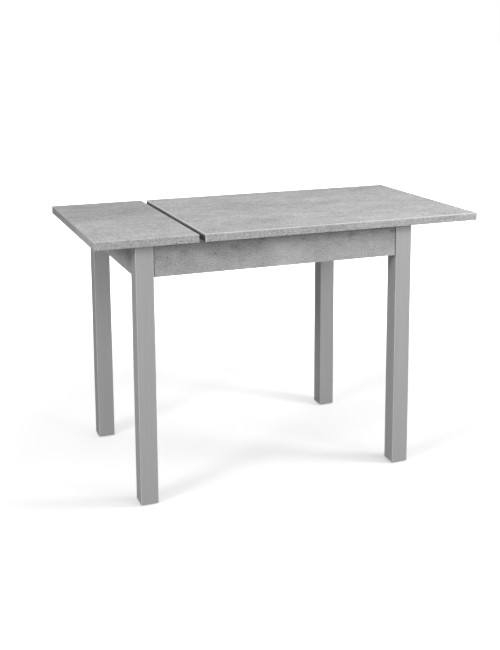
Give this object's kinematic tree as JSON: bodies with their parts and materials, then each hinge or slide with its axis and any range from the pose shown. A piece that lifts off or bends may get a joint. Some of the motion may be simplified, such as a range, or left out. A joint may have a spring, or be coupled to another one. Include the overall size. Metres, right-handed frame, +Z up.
{
  "type": "extending table",
  "caption": "Extending kitchen table: a banded main top slides along a four-legged frame on grooved rails, and a separate end leaf lies on the bared frame.",
  "frame": {"origin": "on the floor, under the middle of the whole top as the picture shows it drawn out", "axes": "+Z up, +X along the table from the leaf to the main top, +Y from the front to the back"},
  "size_m": [1.1476, 0.6, 0.75],
  "materials": {
    "laminate_board": "chipboard laminated in a pale concrete decor, matt",
    "edge_band": "plastic edge band in the same concrete decor, matt",
    "painted_wood": "solid wood painted light grey, satin",
    "beech": "bare planed beech",
    "zinc_steel": "bright zinc plated",
    "glide_plastic": "moulded black",
    "buffer_rubber": "matt black"
  },
  "bodies": {
    "frame": {"leg_front_left": "painted_wood", "leg_front_right": "painted_wood", "leg_back_left": "painted_wood", "leg_back_right": "painted_wood", "glide_front_left": "glide_plastic", "glide_front_right": "glide_plastic", "glide_back_left": "glide_plastic", "glide_back_right": "glide_plastic", "apron_front": "laminate_board", "apron_back": "laminate_board", "apron_left": "laminate_board", "apron_right": "laminate_board", "apron_band_front": "edge_band", "apron_band_back": "edge_band", "apron_band_left": "edge_band", "apron_band_right": "edge_band", "corner_plate_front_left": "zinc_steel", "corner_plate_front_right": "zinc_steel", "corner_plate_back_left": "zinc_steel", "corner_plate_back_right": "zinc_steel", "guide_rail_front": "beech", "guide_rail_back": "beech", "bearer_left": "laminate_board", "bearer_right": "laminate_board", "bearer_brackets": "zinc_steel", "rail_screws": "zinc_steel", "corner_screws": "zinc_steel", "bearer_screws": "zinc_steel", "hanger_bolts": "zinc_steel", "bolt_washers": "zinc_steel", "bolt_nuts": "zinc_steel", "apron_dowels": "beech", "stop_buffers": "buffer_rubber"},
    "main_top": {"main_top_panel": "laminate_board", "main_top_band_front": "edge_band", "main_top_band_back": "edge_band", "main_top_band_left": "edge_band", "main_top_band_right": "edge_band", "runner_front": "beech", "runner_back": "beech", "runner_screws": "zinc_steel"},
    "leaf": {"leaf_panel": "laminate_board", "leaf_band_front": "edge_band", "leaf_band_back": "edge_band", "leaf_band_left": "edge_band", "leaf_band_right": "edge_band"}
  },
  "joints": [
    {"name": "top_slide", "type": "slide", "parent": "frame", "child": "main_top", "axis": [1, 0, 0], "range_m": [-0.2, 0.015]},
    {"name": "leaf_draw", "type": "slide", "parent": "main_top", "child": "leaf", "axis": [1, 0, 0], "range_m": [-0.2, 0.017]}
  ]
}
